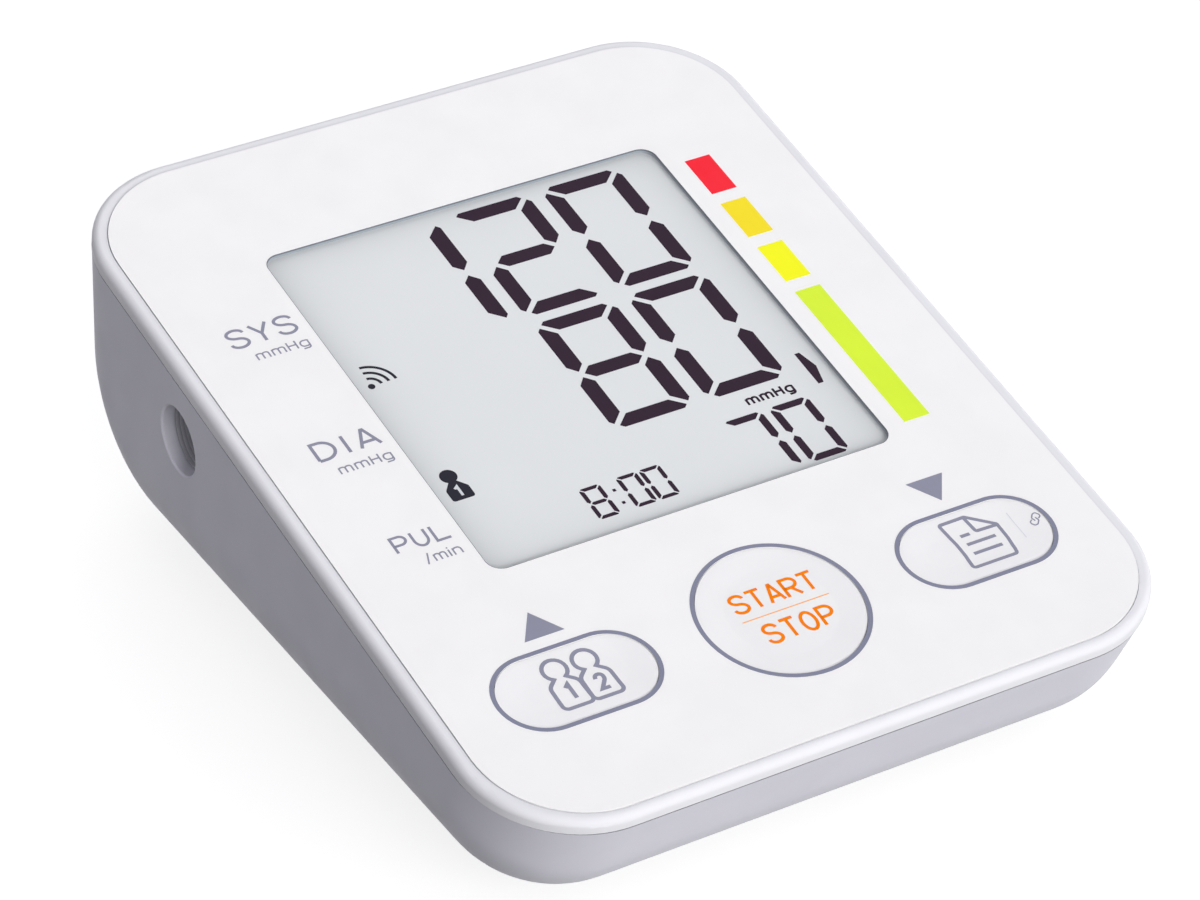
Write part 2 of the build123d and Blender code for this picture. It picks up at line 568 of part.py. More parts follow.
def screws(points, seat_depth, shank_r, shank_l, head_r, head_h):
    """Pan-head screws driven towards the face, with a cross recess, heads seated at seat_depth."""
    with BuildPart() as group:
        with BuildSketch(face_at(seat_depth)):
            with Locations(*points):
                Circle(head_r)
        extrude(amount=-head_h)
        with BuildSketch(face_at(seat_depth)):
            with Locations(*points):
                Circle(shank_r)
        extrude(amount=shank_l)
        with BuildSketch(face_at(seat_depth + head_h)):
            with Locations(*points):
                Rectangle(head_r * CROSS_W, head_r * CROSS_T)
                Rectangle(head_r * CROSS_T, head_r * CROSS_W)
        extrude(amount=head_h / 2, mode=Mode.SUBTRACT)
    return group


case_screws = screws(BOSS_POINTS, BOSS_TOP + SEAT_T, SCREW_R, SEAT_T + SCREW_L - PILOT_ROOM,
                     SCREW_HEAD_R, SCREW_HEAD_H)
board_screws = screws(POST_POINTS, BOARD_BOTTOM, BOARD_SCREW_R,
                      BOARD_T + BOARD_SCREW_L - PILOT_ROOM, BOARD_SCREW_HEAD_R,
                      BOARD_SCREW_HEAD_H)

# ---------------------------------------------------------------- air system
with BuildPart() as air_socket:
    with BuildSketch(SOCKET_CUT):
        with BuildLine():
            Polyline(
                (WALL, SOCKET_BORE_R + 2 * SOCKET_STEP),
                (WALL, SOCKET_FLANGE_R),
                (WALL + SOCKET_FLANGE_T, SOCKET_FLANGE_R),
                (WALL + SOCKET_FLANGE_T, SOCKET_BODY_R),
                (SOCKET_L, SOCKET_BODY_R),
                (SOCKET_L, NIPPLE_R),
                (SOCKET_L + NIPPLE_L, NIPPLE_R),
                (SOCKET_L + NIPPLE_L, NIPPLE_BORE_R),
                (SOCKET_L - SOCKET_END_T, NIPPLE_BORE_R),
                (SOCKET_L - SOCKET_END_T, SOCKET_BORE_R),
                (WALL + 2 * SOCKET_STEP_L, SOCKET_BORE_R),
                (WALL + 2 * SOCKET_STEP_L, SOCKET_BORE_R + SOCKET_STEP),
                (WALL + SOCKET_STEP_L, SOCKET_BORE_R + SOCKET_STEP),
                (WALL + SOCKET_STEP_L, SOCKET_BORE_R + 2 * SOCKET_STEP),
                close=True,
            )
        make_face()
    revolve(axis=SOCKET_AXIS)

with BuildPart() as air_manifold:
    with BuildSketch(Plane.XZ.offset(-MANIFOLD_Y1)):
        with Locations((MANIFOLD_X, MANIFOLD_Z)):
            Circle(MANIFOLD_R)
    extrude(amount=MANIFOLD_Y1 - MANIFOLD_Y0)
    with BuildSketch(Plane.YZ.offset(MANIFOLD_X)):
        with Locations((SOCKET_Y, MANIFOLD_Z), (VALVE_HOSE_Y, MANIFOLD_Z)):
            Circle(NIPPLE_R)
    extrude(amount=-MANIFOLD_R - MANIFOLD_STUB)
    with BuildSketch(Plane.XZ.offset(-MANIFOLD_Y1)):
        with Locations((MANIFOLD_X, MANIFOLD_Z)):
            Circle(NIPPLE_R)
    extrude(amount=-NIPPLE_L)
    with BuildSketch(face_at(BOARD_BOTTOM + SENSOR_T + SENSOR_PORT_GAP)):
        with Locations((MANIFOLD_X, SENSOR_Y)):
            Circle(NIPPLE_R)
    extrude(amount=-MANIFOLD_R)


def hose(path_points, bend):
    """Silicone tube on a route of straight runs and tangent bends."""
    with BuildPart() as tube:
        with BuildLine() as route:
            FilletPolyline(*path_points, radius=bend)
        with BuildSketch(Plane(origin=route.line @ 0, z_dir=route.line % 0)):
            Circle(HOSE_R)
            Circle(NIPPLE_R + SLIP, mode=Mode.SUBTRACT)
        sweep()
    return tube


socket_hose = hose(
    [
        (SOCKET_END_X + HOSE_GAP, SOCKET_Y, SOCKET_Z),
        (DROP_X, SOCKET_Y, SOCKET_Z),
        (DROP_X, SOCKET_Y, MANIFOLD_Z),
        (MANIFOLD_X - MANIFOLD_R - HOSE_GAP, SOCKET_Y, MANIFOLD_Z),
    ],
    HOSE_BEND,
)
valve_hose = hose(
    [
        (VALVE_X, VALVE_Y + VALVE_L / 2 + HOSE_GAP, VALVE_PORT_Z),
        (VALVE_X, VALVE_HOSE_Y, VALVE_PORT_Z),
        (VALVE_X, VALVE_HOSE_Y, MANIFOLD_Z),
        (MANIFOLD_X - MANIFOLD_R - HOSE_GAP, VALVE_HOSE_Y, MANIFOLD_Z),
    ],
    HOSE_BEND,
)
pump_hose = hose(
    [
        (PUMP_SPLIT_X - HEAD_L - HOSE_GAP, PUMP_Y, PUMP_Z),
        (MANIFOLD_X, PUMP_Y, PUMP_Z),
        (MANIFOLD_X, MANIFOLD_Y1 + HOSE_GAP, MANIFOLD_Z),
    ],
    PUMP_BEND,
)
with BuildPart() as sensor_hose:
    with BuildSketch(face_at(BOARD_BOTTOM + SENSOR_T + HOSE_GAP)):
        with Locations((MANIFOLD_X, SENSOR_Y)):
            Circle(HOSE_R)
            Circle(NIPPLE_R + SLIP, mode=Mode.SUBTRACT)
    extrude(amount=-SENSOR_HOSE_L)

with BuildPart() as exhaust_valve:
    with BuildSketch(Plane.XY.offset(VALVE_Z)):
        with Locations((VALVE_X, VALVE_Y)):
            Rectangle(VALVE_W, VALVE_L)
    extrude(amount=VALVE_H)
    fillet(exhaust_valve.edges().filter_by(Axis.Z), VALVE_EDGE)
    with BuildSketch(Plane.XZ.offset(-VALVE_Y - VALVE_L / 2)):
        with Locations((VALVE_X, VALVE_PORT_Z)):
            Circle(NIPPLE_R)
    extrude(amount=-NIPPLE_L)

with BuildPart() as pump_motor:
    with BuildSketch(Plane.YZ.offset(PUMP_SPLIT_X)):
        with Locations((PUMP_Y, PUMP_Z)):
            Circle(PUMP_R)
    extrude(amount=MOTOR_L)
    chamfer(pump_motor.faces().sort_by(Axis.X)[-1].edges(), MOTOR_EDGE)
    with BuildSketch(Plane.YZ.offset(PUMP_SPLIT_X + MOTOR_L)):
        with Locations((PUMP_Y, PUMP_Z)):
            Circle(SHAFT_R)
    extrude(amount=SHAFT_L)

with BuildPart() as pump_head:
    with BuildSketch(Plane.YZ.offset(PUMP_SPLIT_X)):
        with Locations((PUMP_Y, PUMP_Z)):
            RegularPolygon(PUMP_R, 8)
    extrude(amount=-HEAD_L)
    with BuildSketch(Plane.YZ.offset(PUMP_SPLIT_X - HEAD_L)):
        with Locations((PUMP_Y, PUMP_Z)):
            Circle(NIPPLE_R)
    extrude(amount=-NIPPLE_L)

with BuildPart() as pump_sleeve:
    with BuildSketch(Plane.YZ.offset(PUMP_SPLIT_X + SLEEVE_INSET)):
        with Locations((PUMP_Y, PUMP_Z)):
            Circle(SLEEVE_R)
            Circle(PUMP_R + SLIP, mode=Mode.SUBTRACT)
    extrude(amount=SLEEVE_L)

# ---------------------------------------------------------------- power
# each cell's place across the bay, and the way its positive end points
CELL_TURNS = [(CELLS_Y + (i - (CELL_COUNT - 1) / 2) * CELL_PITCH, 1 if i % 2 else -1)
              for i in range(CELL_COUNT)]

with BuildPart() as cells:
    for y, way in CELL_TURNS:
        shoulder = way * (BAY_X - PLATE_GAP - NUB_L)
        with BuildSketch(Plane.YZ.offset(shoulder)):
            with Locations((y, CELL_Z)):
                Circle(CELL_R)
        extrude(amount=-way * CELL_L)
        with BuildSketch(Plane.YZ.offset(shoulder)):
            with Locations((y, CELL_Z)):
                Circle(NUB_R)
        extrude(amount=way * NUB_L)

with BuildPart() as plate_contacts:
    for y, way in CELL_TURNS:
        with BuildSketch(Plane.YZ.offset(way * BAY_X)):
            with Locations((y, CELL_Z)):
                Rectangle(PLATE_W, PLATE_H)
        extrude(amount=-way * PLATE_T)
        with BuildSketch(Plane.YZ.offset(way * (BAY_X - PLATE_T))):
            with Locations((y, CELL_Z)):
                Circle(NUB_R)
        extrude(amount=-way * (PLATE_GAP - PLATE_T))

with BuildPart() as leaf_contacts:
    for y, way in CELL_TURNS:
        wall_x = way * (PLATE_T / 2 - BAY_X)
        cell_x = way * (BAY_X - PLATE_GAP - NUB_L - CELL_L - PLATE_T / 2)
        with BuildSketch(Plane.XY.offset(CELL_Z - LEAF_W / 2)):
            with BuildLine():
                strip = FilletPolyline(
                    (wall_x, y - LEAF_HALF),
                    (wall_x, y + LEAF_HALF),
                    (cell_x, y + LEAF_TIP),
                    (cell_x, y - LEAF_TIP),
                    (wall_x + way * LEAF_OUT, y - LEAF_HALF + LEAF_TIP),
                    radius=LEAF_R,
                )
                offset(strip, amount=PLATE_T / 2, side=Side.BOTH)
            make_face()
        extrude(amount=LEAF_W)

with BuildPart() as battery_door:
    with BuildSketch(Plane.XY.offset(FOOT_H)):
        with Locations((0, (DOOR_AXIS_Y + DOOR_BACK_Y) / 2)):
            Rectangle(2 * DOOR_X, DOOR_BACK_Y - DOOR_AXIS_Y)
    extrude(amount=DOOR_T)
    # knuckle and pins along the front edge
    with BuildSketch(Plane.YZ.offset(-DOOR_X)):
        with Locations((DOOR_AXIS_Y, DOOR_AXIS_Z)):
            Circle(KNUCKLE_R)
    extrude(amount=2 * DOOR_X)
    with BuildSketch(Plane.YZ.offset(PIN_SHORT - BAY_X - RIB_T)):
        with Locations((DOOR_AXIS_Y, DOOR_AXIS_Z)):
            Circle(PIN_R)
    extrude(amount=2 * (BAY_X + RIB_T - PIN_SHORT))
    # slits that free the latch tongue
    with BuildSketch(Plane.XY.offset(FOOT_H)):
        with Locations(*[(side * LATCH_W / 2, DOOR_BACK_Y - LATCH_L / 2) for side in (-1, 1)]):
            Rectangle(LATCH_SLIT, LATCH_L)
    extrude(amount=DOOR_T, mode=Mode.SUBTRACT)
    # finger grip on the latch tongue
    with BuildSketch(Plane.XY.offset(FOOT_H)):
        with Locations((0, DOOR_BACK_Y - LATCH_L / 2)):
            with GridLocations(GRIP_W, GRIP_PITCH, 1, GRIPS):
                Rectangle(GRIP_W, GRIP_L)
    extrude(amount=GRIP_DEEP, mode=Mode.SUBTRACT)
    # low ribs inside that keep the cells in their rows
    with BuildSketch(Plane.XY.offset(FOOT_H + DOOR_T)):
        with Locations((0, CELLS_Y)):
            with GridLocations(1, CELL_PITCH, 1, CELL_COUNT - 1):
                Rectangle(2 * DOOR_X - 2 * DOOR_RIB_END, DOOR_RIB_W)
    extrude(amount=DOOR_RIB_H)

with BuildPart() as rubber_feet:
    with BuildSketch():
        with Locations(*FOOT_POINTS):
            Circle(FOOT_R)
    extrude(amount=FOOT_H + FOOT_POCKET)
    chamfer(rubber_feet.faces().group_by(Axis.Z)[0].edges(), FOOT_EDGE)

NODES = {
    "bottom_case": bottom_case, "top_case": top_case, "face_panel": face_panel,
    "start_ring": start_ring, "side_button_rings": side_button_rings,
    "lcd_film": lcd_film, "lcd_front_glass": lcd_front_glass, "lcd_rear_glass": lcd_rear_glass,
    "lcd_holder": lcd_holder, "zebra_strips": zebra_strips, "main_board": main_board,
    "mcu_chip": mcu_chip, "wireless_module": wireless_module, "pressure_sensor": pressure_sensor,
    "buzzer": buzzer, "capacitors": capacitors, "switch_bodies": switch_bodies,
    "start_plunger": start_plunger, "user_plunger": user_plunger,
    "memory_plunger": memory_plunger, "start_button": start_button,
    "user_button": user_button, "memory_button": memory_button,
    "case_screws": case_screws, "board_screws": board_screws, "air_socket": air_socket,
    "air_manifold": air_manifold, "socket_hose": socket_hose, "valve_hose": valve_hose,
    "pump_hose": pump_hose, "sensor_hose": sensor_hose, "exhaust_valve": exhaust_valve,
    "pump_motor": pump_motor, "pump_head": pump_head, "pump_sleeve": pump_sleeve,
    "cells": cells, "plate_contacts": plate_contacts, "leaf_contacts": leaf_contacts,
    "battery_door": battery_door, "rubber_feet": rubber_feet,
}
for name, builder in NODES.items():
    save(builder, name)
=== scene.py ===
import json
from math import cos, pi, radians, sin

import bmesh
import bpy
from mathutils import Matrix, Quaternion, Vector
from mathutils.bvhtree import BVHTree


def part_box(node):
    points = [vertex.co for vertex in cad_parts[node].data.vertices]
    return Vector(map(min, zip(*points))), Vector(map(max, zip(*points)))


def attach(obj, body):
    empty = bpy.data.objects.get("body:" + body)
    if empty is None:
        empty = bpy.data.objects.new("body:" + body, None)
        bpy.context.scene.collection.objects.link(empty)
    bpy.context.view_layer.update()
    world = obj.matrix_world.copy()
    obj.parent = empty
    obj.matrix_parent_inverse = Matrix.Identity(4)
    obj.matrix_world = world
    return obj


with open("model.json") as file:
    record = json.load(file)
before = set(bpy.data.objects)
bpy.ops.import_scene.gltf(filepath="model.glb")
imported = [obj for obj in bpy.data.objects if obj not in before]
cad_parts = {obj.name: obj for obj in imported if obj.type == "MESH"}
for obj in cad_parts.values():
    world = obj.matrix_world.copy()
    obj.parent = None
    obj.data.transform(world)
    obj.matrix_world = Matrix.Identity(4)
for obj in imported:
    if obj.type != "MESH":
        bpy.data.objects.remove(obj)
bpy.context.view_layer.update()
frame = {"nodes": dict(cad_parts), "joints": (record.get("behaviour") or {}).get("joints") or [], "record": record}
MM = 0.001

# ---------------------------------------------------------------- the sloping face
# Prints are laid out in millimetres on the face: x right, y up the slope, both from the middle
# of the face panel.
PANEL_T = 0.6          # thickness of the face panel
FILM_EDGE = 1.0        # the display film reaches this far behind the window's edge

PRESS = next(j for j in frame["joints"] if j["name"] == "start_press")
OUT = -Vector(PRESS["axis"]).normalized()
RIGHT = Vector((1, 0, 0))
UP = OUT.cross(RIGHT)
PANEL_LOW, PANEL_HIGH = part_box("face_panel")
FACE = (PANEL_LOW + PANEL_HIGH) / 2 + OUT * PANEL_T / 2 * MM


def at(x, y, z=0.0):
    """Point of the face in metres, z out of the panel."""
    return FACE + (RIGHT * x + UP * y + OUT * z) * MM


def extent(node):
    """Left, right, lower and upper limit of a node on the face, in millimetres."""
    points = [v.co - FACE for v in frame["nodes"][node].data.vertices]
    across = [p.dot(RIGHT) / MM for p in points]
    along = [p.dot(UP) / MM for p in points]
    return min(across), max(across), min(along), max(along)


# ---------------------------------------------------------------- colours
def srgb(code):
    """Linear colour of a hex code."""
    parts = [int(code[i:i + 2], 16) / 255 for i in (0, 2, 4)]
    return tuple(c / 12.92 if c <= 0.04045 else ((c + 0.055) / 1.055) ** 2.4 for c in parts)


def scaled(color, factor):
    """Colour that many times as light."""
    return tuple(min(c * factor, 1.0) for c in color)


# ---------------------------------------------------------------- materials
MIX_FACTOR, MIX_FIRST, MIX_SECOND, MIX_RESULT = 0, 6, 7, 2      # a Mix node's colour sockets
CLOUD, CLOUD_MM = (0.35, 0.65), 9.0     # noise values that clouds span, and size of a cloud
PATCH, PATCH_MM = (0.3, 0.7), 4.0       # the same for patches of polish
CLOUD_SPREAD, POLISH_SPREAD = 0.012, 0.035      # how far tone and roughness differ
PAINTED_SHADE_REACH, PAINTED_SHADE_SAMPLES = 0.5, 8       # how near surfaces must be for painted shade between them, in millimetres
PAINTED_CREVICE_SHADE = {                            # painted shade colour in the crevices of the plastics that meet in seams
    "tray_plastic": (0.07, 0.07, 0.08), "socket_plastic": (0.07, 0.07, 0.08),
    "bezel_plastic": (0.3, 0.29, 0.36),
}


class Finish:
    """One material: a Principled shader with node helpers in the object's own coordinates."""

    def __init__(self, name, roughness, metallic=0.0, specular=0.5):
        self.material = bpy.data.materials.new(name)
        self.material.use_nodes = True
        self.tree = self.material.node_tree
        self.tree.nodes.clear()
        output = self.tree.nodes.new("ShaderNodeOutputMaterial")
        self.shader = self.tree.nodes.new("ShaderNodeBsdfPrincipled")
        self.tree.links.new(self.shader.outputs["BSDF"], output.inputs["Surface"])
        self.set("Roughness", roughness)
        self.set("Metallic", metallic)
        self.set("Specular IOR Level", specular)
        self.place = self.tree.nodes.new("ShaderNodeTexCoord").outputs["Object"]

    def set(self, socket, value):
        """Gives a socket of the shader a constant or another node's output."""
        self.feed(self.shader.inputs[socket], value)

    def feed(self, socket, value):
        """Gives any socket a constant or another node's output."""
        if isinstance(value, bpy.types.NodeSocket):
            self.tree.links.new(value, socket)
        elif socket.type == "RGBA":
            socket.default_value = (*value, 1.0)
        else:
            socket.default_value = value

    def node(self, kind, inputs, output=0, **settings):
        """Adds a node, sets its inputs and returns an output, each by name or number."""
        made = self.tree.nodes.new(kind)
        for key, value in settings.items():
            setattr(made, key, value)
        for key, value in inputs.items():
            self.feed(made.inputs[key], value)
        return made.outputs[output]

    def noise(self, grain_mm, detail=2.0, stretch=(1, 1, 1)):
        """Noise with a grain of that many millimetres, stretched along the axes."""
        place = self.place
        if stretch != (1, 1, 1):
            place = self.node("ShaderNodeMapping", {"Vector": place, "Scale": stretch})
        return self.node("ShaderNodeTexNoise", {
            "Vector": place, "Scale": 1 / (grain_mm * MM), "Detail": detail,
        })

    def along(self, axis):
        """Millimetres from the middle of the face along one of its axes."""
        away = self.node("ShaderNodeVectorMath", {0: self.place, 1: FACE}, operation="SUBTRACT")
        return self.node("ShaderNodeVectorMath", {0: away, 1: axis / MM}, output="Value",
                         operation="DOT_PRODUCT")

    def math(self, operation, *values):
        """Result of one operation on numbers or outputs."""
        return self.node("ShaderNodeMath", dict(enumerate(values)), operation=operation)

    def ramp(self, value, low, high, start=0.0, end=1.0):
        """Value mapped from low..high to start..end, and held outside."""
        return self.node("ShaderNodeMapRange", {
            "Value": value, "From Min": low, "From Max": high, "To Min": start, "To Max": end,
        })

    def mix(self, factor, first, second):
        """First colour where factor is 0, second where it is 1."""
        return self.node("ShaderNodeMix", {
            MIX_FACTOR: factor, MIX_FIRST: first, MIX_SECOND: second,
        }, output=MIX_RESULT, data_type="RGBA")

    def tone(self, color, spread, cloud_mm):
        """Colour that drifts a little lighter and darker in soft clouds."""
        cloud = self.ramp(self.noise(cloud_mm), *CLOUD)
        return self.mix(cloud, scaled(color, 1 - spread), scaled(color, 1 + spread))

    def painted_crevice_shade(self, color, dark):
        """Colour with painted shade where two surfaces nearly meet, in seams and gaps."""
        # the occlusion node paints shade into the base colour
        clear = self.node("ShaderNodeAmbientOcclusion", {"Distance": PAINTED_SHADE_REACH * MM}, output="AO",
                          samples=PAINTED_SHADE_SAMPLES)
        return self.mix(clear, dark, color)

    def polish(self, roughness, spread, patch_mm):
        """Roughness that varies in patches, as handled plastic does."""
        patch = self.noise(patch_mm, detail=3.0)
        self.set("Roughness", self.ramp(patch, *PATCH, roughness - spread, roughness + spread))

    def grain(self, grain_mm, height_um, strength=1.0, stretch=(1, 1, 1)):
        """Fine relief, as a mould or a brush leaves it."""
        self.set("Normal", self.node("ShaderNodeBump", {
            "Strength": strength, "Distance": height_um * MM * MM,
            "Height": self.noise(grain_mm, stretch=stretch),
        }))


def moulded(name, color, roughness, grain_mm, height_um, spread=CLOUD_SPREAD, specular=0.5):
    """Moulded plastic, rubber or print: cloudy tone, painted shade where some plastics meet in seams, patchy
    polish and a fine mould grain.
    """
    finish = Finish(name, roughness, specular=specular)
    tone = finish.tone(color, spread, CLOUD_MM)
    # painted shade in the crevices of the case plastics
    if name in PAINTED_CREVICE_SHADE:
        tone = finish.painted_crevice_shade(tone, PAINTED_CREVICE_SHADE[name])
    finish.set("Base Color", tone)
    finish.polish(roughness, POLISH_SPREAD, PATCH_MM)
    finish.grain(grain_mm, height_um)
    return finish


def printed(name, code, roughness, **rest):
    """Ink or paint on plastic."""
    return moulded(name, srgb(code), roughness, grain_mm=0.15, height_um=0.8, **rest)


def brushed(name, color, roughness, stretch):
    """Drawn or turned metal, its scratches stretched along one axis."""
    finish = Finish(name, roughness, metallic=1.0)
    finish.set("Base Color", finish.tone(color, spread=0.06, cloud_mm=3.0))
    finish.polish(roughness, spread=0.06, patch_mm=1.5)
    finish.grain(grain_mm=0.25, height_um=3.0, strength=0.6, stretch=stretch)
    return finish


WHITE = srgb("F8F7F6")
RING_GREY = srgb("7D8096")
RING_PAINT, PAINT_FADE = 0.03, 0.02     # how far down the rings grey reaches, then fades, in mm

# slot: colour, roughness, grain in mm, relief in um, and where they differ, spread and specular
MOULDED = {
    "tray_plastic": (srgb("D9D8E1"), 0.5, 0.22, 2.2, CLOUD_SPREAD, 0.25),
    "bezel_plastic": (srgb("E8E8EB"), 0.4, 0.3, 1.0, CLOUD_SPREAD, 0.15),
    "panel_white": (WHITE, 0.4, 0.18, 0.8),
    "button_white": (srgb("F3F2F2"), 0.38, 0.18, 0.8),
    "white_plastic": (srgb("DADAD6"), 0.5, 0.3, 2.0),
    "black_plastic": (srgb("26272A"), 0.48, 0.25, 2.0),
    "socket_plastic": (srgb("C4C4C9"), 0.42, 0.25, 1.5),
    "conductive_rubber": (srgb("7A7D84"), 0.7, 0.12, 3.0),
    "capacitor_can": (srgb("2B3350"), 0.35, 0.2, 1.0),
    "switch_plunger": (srgb("33343A"), 0.45, 0.2, 1.5),
    "silicone": (srgb("D9DCD8"), 0.42, 0.3, 1.5),
    "foam_rubber": (srgb("3A3A3C"), 0.92, 0.35, 40.0),
    "foot_rubber": (srgb("C9C9CE"), 0.8, 0.3, 6.0),
}
METAL = {  # slot: colour, roughness, how the scratches are stretched
    "shield_can": (srgb("C9CBCE"), 0.32, (0.05, 1, 1)),
    "screw_steel": (srgb("B9BBC0"), 0.3, (1, 1, 0.1)),
    "valve_steel": (srgb("AEB1B6"), 0.36, (0.05, 1, 1)),
    "motor_can": (srgb("BFC0C2"), 0.28, (0.04, 1, 1)),
    "contact_nickel": (srgb("C4C0B4"), 0.25, (1, 0.08, 1)),
}


def display_film():
    """Grey ground of the display, darker towards the window's edges: painted shade of the window's recess."""
    finish = Finish("display_film", roughness=0.32)
    left, right, lower, upper = WINDOW
    x, y = finish.along(RIGHT), finish.along(UP)
    # of each side: the two values that lie its distance apart, how dark the painted shade is there, and within how
    # many millimetres it clears
    sides = [(x, left, 0.28, 2.5), (right, x, 0.19, 3.2), (y, lower, 0.17, 2.6),
             (upper, y, 0.24, 2.4)]
    light = 1.0
    for high, low, dark, reach in sides:
        distance = finish.math("SUBTRACT", high, low)
        fall = finish.math("EXPONENT", finish.math("DIVIDE", distance, -reach))
        shade = finish.math("SUBTRACT", 1.0, finish.math("MULTIPLY", fall, dark))
        light = finish.math("MULTIPLY", light, shade)
    ground = finish.tone(srgb("E3E6E6"), spread=0.006, cloud_mm=14.0)
    # painted shade: the ground fades to 2E343C near the window's edges
    finish.set("Base Color", finish.mix(light, srgb("2E343C"), ground))
    finish.grain(grain_mm=0.12, height_um=0.5)
    return finish


def painted_ring():
    """White ring, its top painted grey."""
    roughness = 0.32
    finish = Finish("ring_grey", roughness)
    top = finish.ramp(finish.along(OUT), -RING_PAINT - PAINT_FADE, -RING_PAINT)
    paint = finish.tone(RING_GREY, CLOUD_SPREAD, CLOUD_MM)
    finish.set("Base Color", finish.mix(top, WHITE, paint))
    finish.polish(roughness, POLISH_SPREAD, PATCH_MM)
    finish.grain(grain_mm=0.2, height_um=0.8)
    return finish


SHADE_CLEAR_FROM, SHADE_DARK_TO = 0.5, 0.2          # depths in the window where the edge's painted shade is clear and where it is full, as shares of the panel's thickness


def window_wall_painted_shade():
    """Edge of the window with painted shade: dark at its rim, clearer towards the display."""
    finish = Finish("window_edge_painted_shade", roughness=0.4)
    rim = finish.ramp(finish.along(OUT), -SHADE_CLEAR_FROM * PANEL_T, -SHADE_DARK_TO * PANEL_T)
    # painted shade: 636A72 at the rim, 979EA5 deeper in the window
    finish.set("Base Color", finish.mix(rim, srgb("979EA5"), srgb("636A72")))
    finish.grain(grain_mm=0.2, height_um=0.8)
    return finish


TRACK_SCALE, TRACK_WIDTH = 260.0, 0.05  # rows of the pattern per metre, and its lines' share


def board_mask():
    """Green solder mask over copper tracks."""
    roughness = 0.3
    finish = Finish("board_green", roughness)
    tracks = finish.node("ShaderNodeTexBrick", {
        "Vector": finish.place, "Scale": TRACK_SCALE, "Mortar Size": TRACK_WIDTH,
        "Color1": (0.0, 0.0, 0.0), "Color2": (0.0, 0.0, 0.0), "Mortar": (1.0, 1.0, 1.0),
    })
    finish.set("Base Color", finish.mix(tracks, srgb("1C5A37"), srgb("3B7D4B")))
    finish.polish(roughness, spread=0.05, patch_mm=3.0)
    finish.grain(grain_mm=0.2, height_um=2.0)
    return finish


def clear_glass():
    """Faintly tinted glass."""
    finish = Finish("display_glass", roughness=0.06)
    finish.set("Base Color", finish.tone(srgb("DCE6E4"), spread=0.01, cloud_mm=20.0))
    finish.set("Transmission Weight", 0.85)
    finish.grain(grain_mm=0.4, height_um=0.2)
    return finish


# metres from the middle of the bay: where a cell's sleeve ends, and where its pale bands begin
SLEEVE_END, BAND_START = (0.0238, 0.0240), (0.0165, 0.0166)


def cell_wrap():
    """Plain printed sleeve with a bare metal shoulder at both ends."""
    finish = Finish("cell_wrap", roughness=0.3)
    across = finish.node("ShaderNodeSeparateXYZ", {"Vector": finish.place}, output="X")
    reach = finish.math("ABSOLUTE", across)
    bare = finish.ramp(reach, *SLEEVE_END)
    band = finish.ramp(reach, *BAND_START)
    sleeve = finish.mix(band, srgb("2A4D7C"), srgb("C8CCD2"))
    finish.set("Base Color", finish.mix(bare, sleeve, srgb("B9BABC")))
    finish.set("Metallic", finish.ramp(bare, 0.0, 1.0, start=0.1, end=0.9))
    finish.grain(grain_mm=0.3, height_um=1.0)
    return finish


FILM_LEFT, FILM_RIGHT, FILM_LOWER, FILM_UPPER = extent("lcd_film")
WINDOW = (FILM_LEFT + FILM_EDGE, FILM_RIGHT - FILM_EDGE,
          FILM_LOWER + FILM_EDGE, FILM_UPPER - FILM_EDGE)

FINISHES = {name: moulded(name, *row) for name, row in MOULDED.items()}
FINISHES.update({name: brushed(name, *row) for name, row in METAL.items()})
FINISHES.update(display_film=display_film(), board_green=board_mask(), display_glass=clear_glass(),
                cell_wrap=cell_wrap(), ring_grey=painted_ring())

for row in frame["record"]["subparts"]:
    cad_node = frame["nodes"][row["node"]]
    for material_slot in cad_node.material_slots:
        material_slot.material = FINISHES[row["material_slot"]].material


# ---------------------------------------------------------------- flat shapes
CORNER_STEPS, ARC_STEPS = 7, 14
SAME_POINT = 1e-4      # points nearer than this are one, in millimetres
MITRE_LIMIT = 0.4      # a mitre is no longer than the distance over this


def rounded(points):
    """Line through (x, y) or (x, y, radius) points, its corners rounded where they say so.

    A run between two rounded corners is shared by both, so a radius that is too large for one
    run turns the corner into part of an ellipse.
    """
    line = []
    count = len(points)
    for i, point in enumerate(points):
        corner = Vector(point[:2])
        if len(point) < 3:
            line.append(corner)
            continue
        sides = []
        half = (Vector(points[i - 1][:2]) - corner).angle(
            Vector(points[(i + 1) % count][:2]) - corner) / 2
        for other in (points[i - 1], points[(i + 1) % count]):
            run = Vector(other[:2]) - corner
            room = run.length / 2 if len(other) > 2 else run.length
            sides.append(corner + run.normalized() * min(point[2] * cos(half) / sin(half), room))
        start, end = sides
        for k in range(CORNER_STEPS + 1):
            t = k / CORNER_STEPS
            a, b, c = (1 - t) ** 2, 2 * sin(half) * t * (1 - t), t * t
            line.append((start * a + corner * b + end * c) / (a + b + c))
    return line


def arc(x, y, radius, start, end, steps=ARC_STEPS):
    """Points along a circle, angles in degrees."""
    turns = [radians(start + (end - start) * k / steps) for k in range(steps + 1)]
    return [(x + radius * cos(a), y + radius * sin(a)) for a in turns]


def without_repeats(line, closed):
    """The line without points that lie on the one before."""
    kept = [p for i, p in enumerate(line) if i == 0 or (p - line[i - 1]).length > SAME_POINT]
    if closed and (kept[0] - kept[-1]).length < SAME_POINT:
        kept.pop()
    return kept


